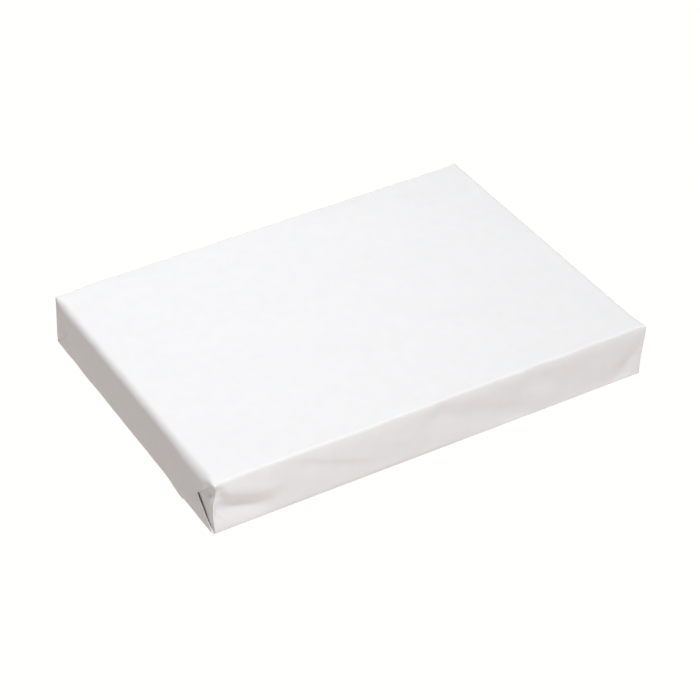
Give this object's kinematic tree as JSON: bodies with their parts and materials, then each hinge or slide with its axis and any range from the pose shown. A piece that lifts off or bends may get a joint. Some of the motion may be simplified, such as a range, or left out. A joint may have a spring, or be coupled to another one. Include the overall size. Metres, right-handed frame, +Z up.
{
  "type": "ream of paper",
  "caption": "Sealed ream of A3 copier paper in a plain white wrapper, its short ends folded like a parcel; lies flat and stacks.",
  "frame": {"origin": "centre of the pack's bottom face, where it rests", "axes": "+X along the pack's length, towards one folded short end; +Y across its width; +Z up through its thickness, the bottom lap seam underneath"},
  "size_m": [0.4242, 0.298, 0.0512],
  "materials": {
    "ream_wrapper": "smooth white wrapping paper with a faint satin coating"
  },
  "bodies": {
    "root": {"wrapped_ream": "ream_wrapper"}
  },
  "joints": []
}
